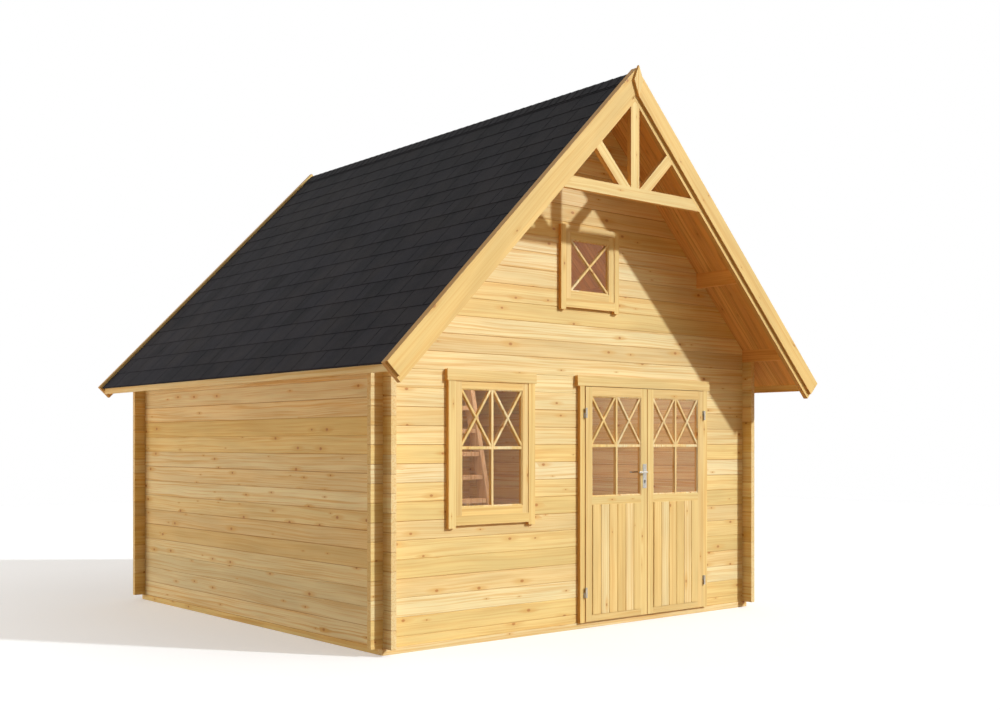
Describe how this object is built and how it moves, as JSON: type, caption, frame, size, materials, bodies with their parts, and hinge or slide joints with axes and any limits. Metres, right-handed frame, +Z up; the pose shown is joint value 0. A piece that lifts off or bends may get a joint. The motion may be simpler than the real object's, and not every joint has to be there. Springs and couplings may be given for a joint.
{
  "type": "timber garden house",
  "caption": "Garden house of wall planks with crossed corners, a steep shingled gable roof, a truss under the front overhang, a glazed double door, windows and a loft.",
  "frame": {"origin": "centre of the whole house's outline on the ground", "axes": "+Z up, +X to the right along the front, -Y out of the front with the door"},
  "size_m": [4.6548, 4.824, 4.372],
  "materials": {
    "plank_wood": "natural planed spruce planks with small knots",
    "trim_wood": "natural planed spruce boards",
    "joinery_wood": "natural smooth spruce joinery",
    "board_wood": "natural tongued and grooved boards",
    "sill_wood": "natural sawn timber",
    "shingle": "dark grey mineral-faced bitumen shingles",
    "glass": "clear flat panes",
    "steel": "zinc-plated and satin steel"
  },
  "bodies": {
    "house": {"end_sills": "sill_wood", "side_sills": "sill_wood", "floor_joists": "sill_wood", "floor_boards": "board_wood", "left_wall": "plank_wood", "right_wall": "plank_wood", "rear_wall": "plank_wood", "rear_gable": "plank_wood", "front_wall_left": "plank_wood", "front_wall_right": "plank_wood", "front_wall_top": "plank_wood", "front_gable": "plank_wood", "eave_purlins": "plank_wood", "mid_purlins": "plank_wood", "ridge_purlin": "plank_wood", "roof_boards_left": "board_wood", "roof_boards_right": "board_wood", "shingles_left": "shingle", "shingles_right": "shingle", "ridge_cap": "shingle", "eave_boards": "trim_wood", "front_barges": "trim_wood", "front_inner_barges": "trim_wood", "rear_barges": "trim_wood", "rear_inner_barges": "trim_wood", "apex_diamond": "trim_wood", "tie_beam": "trim_wood", "king_post": "trim_wood", "truss_struts": "trim_wood", "window_frames": "joinery_wood", "window_sashes": "joinery_wood", "window_panes": "glass", "header_boards": "trim_wood", "door_frame": "joinery_wood", "frame_hinges": "steel", "loft_joists": "plank_wood", "loft_boards": "board_wood", "ladder": "board_wood"},
    "left_door": {"left_door_leaf": "joinery_wood", "left_door_panel": "board_wood", "left_door_pane": "glass", "left_door_hinges": "steel", "handle_plates": "steel"},
    "right_door": {"right_door_leaf": "joinery_wood", "right_door_panel": "board_wood", "right_door_pane": "glass", "right_door_hinges": "steel"},
    "lever": {"door_handle": "steel"}
  },
  "joints": [
    {"name": "left_door_swing", "type": "hinge", "parent": "house", "child": "left_door", "pos_m": [-0.063, -1.8993, 1], "axis": [0, 0, -1], "range_deg": [0, 120]},
    {"name": "right_door_swing", "type": "hinge", "parent": "house", "child": "right_door", "pos_m": [1.365, -1.8993, 1], "axis": [0, 0, 1], "range_deg": [0, 120]},
    {"name": "lever_turn", "type": "hinge", "parent": "left_door", "child": "lever", "pos_m": [0.6175, -1.89, 1.237], "axis": [0, -1, 0], "range_deg": [0, 45], "stiffness_Nm_per_rad": 1, "springref_deg": -34.38}
  ]
}
